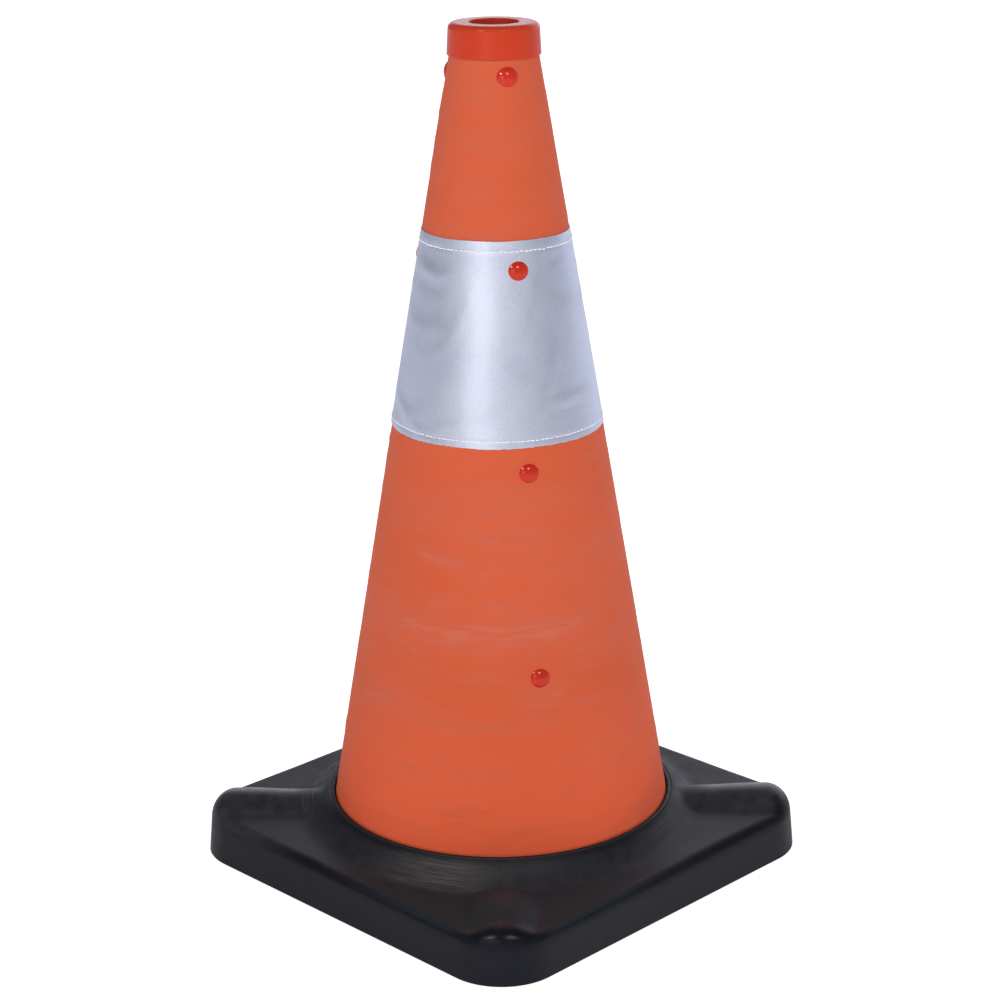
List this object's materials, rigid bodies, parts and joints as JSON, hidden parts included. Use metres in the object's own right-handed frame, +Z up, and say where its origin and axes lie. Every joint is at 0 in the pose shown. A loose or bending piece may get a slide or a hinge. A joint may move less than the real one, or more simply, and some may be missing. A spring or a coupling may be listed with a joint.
{
  "type": "traffic cone",
  "caption": "Telescopic traffic cone: four nested sections under a riveted fabric sleeve with a reflective band, red cap with a lamp hole, square rubber base.",
  "frame": {"origin": "centre of the rubber base's underside, on the floor", "axes": "+Z up along the cone's axis, X and Y along the sides of the square base"},
  "size_m": [0.384, 0.384, 0.7],
  "materials": {
    "rubber": "matte, moulded",
    "orange_fabric": "woven, satin",
    "reflective": "silver, retroreflective",
    "red_plastic": "glossy",
    "section_plastic": "satin, moulded",
    "black_plastic": "satin, moulded",
    "steel": "zinc plated",
    "brass": "turned",
    "thread": "twisted thread"
  },
  "bodies": {
    "base": {"rubber_base": "rubber", "base_plate": "black_plastic", "base_screws": "steel", "base_inserts": "brass", "section_lower": "section_plastic", "sleeve_lower": "orange_fabric", "rivets_lower": "red_plastic", "washers_lower": "steel"},
    "lower_mid": {"section_lower_mid": "section_plastic", "sleeve_lower_mid": "orange_fabric", "rivets_lower_mid": "red_plastic", "washers_lower_mid": "steel"},
    "upper_mid": {"band_lower": "reflective", "stitches_bottom": "thread", "section_upper_mid": "section_plastic", "sleeve_upper_mid": "orange_fabric", "rivets_upper_mid": "red_plastic", "washers_upper_mid": "steel"},
    "top": {"cap": "red_plastic", "lamp_socket": "red_plastic", "band_upper": "reflective", "stitches_top": "thread", "section_top": "section_plastic", "sleeve_top": "orange_fabric", "rivets_top": "red_plastic", "washers_top": "steel"}
  },
  "joints": [
    {"name": "lower_mid_slide", "type": "slide", "parent": "base", "child": "lower_mid", "axis": [0, 0, 1], "range_m": [-0.158, 0], "deforming": ["sleeve_lower_mid"]},
    {"name": "upper_mid_slide", "type": "slide", "parent": "lower_mid", "child": "upper_mid", "axis": [0, 0, 1], "range_m": [-0.152, 0], "deforming": ["sleeve_upper_mid", "band_lower", "stitches_bottom"]},
    {"name": "top_slide", "type": "slide", "parent": "upper_mid", "child": "top", "axis": [0, 0, 1], "range_m": [-0.147, 0], "deforming": ["sleeve_top", "band_upper", "stitches_top"]}
  ]
}
